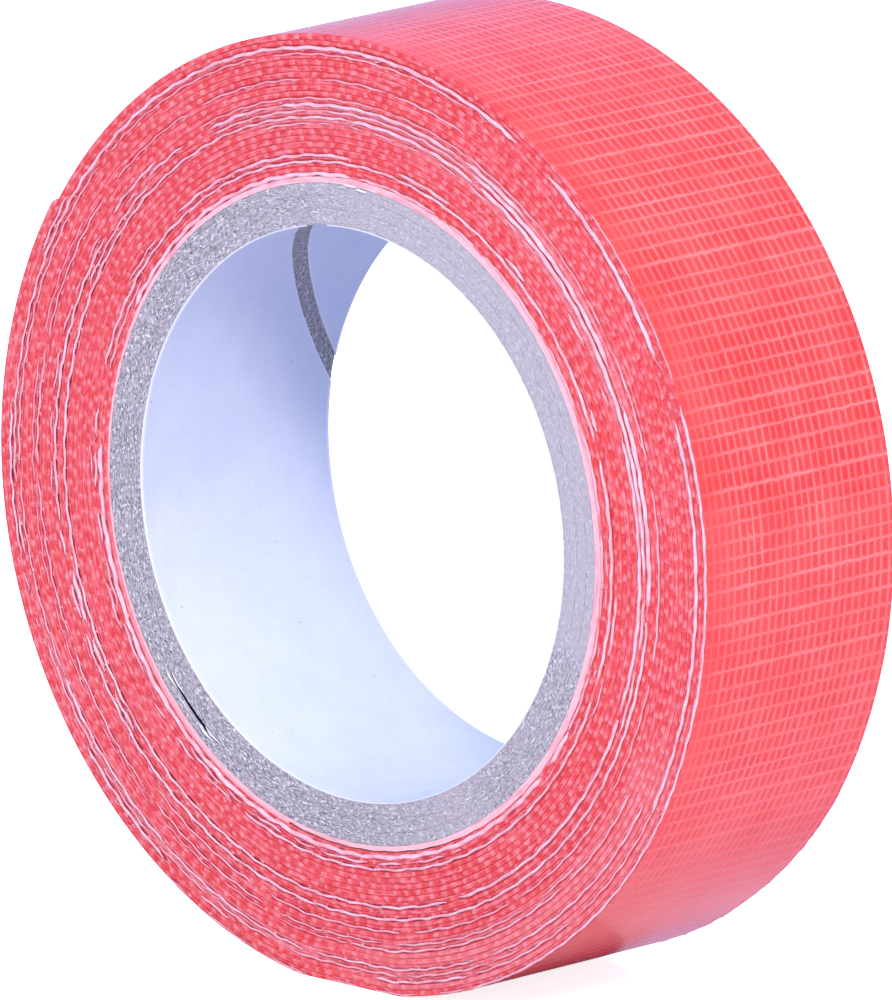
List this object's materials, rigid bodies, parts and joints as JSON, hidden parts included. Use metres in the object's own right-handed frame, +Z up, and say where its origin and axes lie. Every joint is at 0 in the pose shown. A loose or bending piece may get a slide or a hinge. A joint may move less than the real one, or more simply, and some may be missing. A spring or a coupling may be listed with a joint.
{
  "type": "grip tape roll",
  "caption": "Roll of film-coated woven cloth grip tape on a spiral-wound paperboard core, with a free end that peels up.",
  "frame": {"origin": "centre of the roll, on the core's axis and midway between its two faces", "axes": "+Y along the roll's axis, away from the front face that shows in use; +Z up, the roll standing on its rim"},
  "size_m": [0.0642, 0.018, 0.0637],
  "materials": {
    "coated_cloth": "glossy film over open-weave cloth",
    "grey_board": "matt recycled board, fibrous cut edge",
    "liner_paper": "smooth white paper, satin"
  },
  "bodies": {
    "root": {"core_inner_liner": "liner_paper", "core_board_ply_inner": "grey_board", "core_board_ply_middle": "grey_board", "core_board_ply_outer": "grey_board", "core_outer_liner": "liner_paper", "tape_wound_turns": "coated_cloth", "tape_outer_turn": "coated_cloth"},
    "free_end": {"tape_free_end": "coated_cloth"}
  },
  "joints": [
    {"name": "free_end_peel", "type": "hinge", "parent": "root", "child": "free_end", "pos_m": [-0.03148, 0, 0.00698], "axis": [0, -1, 0], "range_deg": [0, 150]}
  ]
}
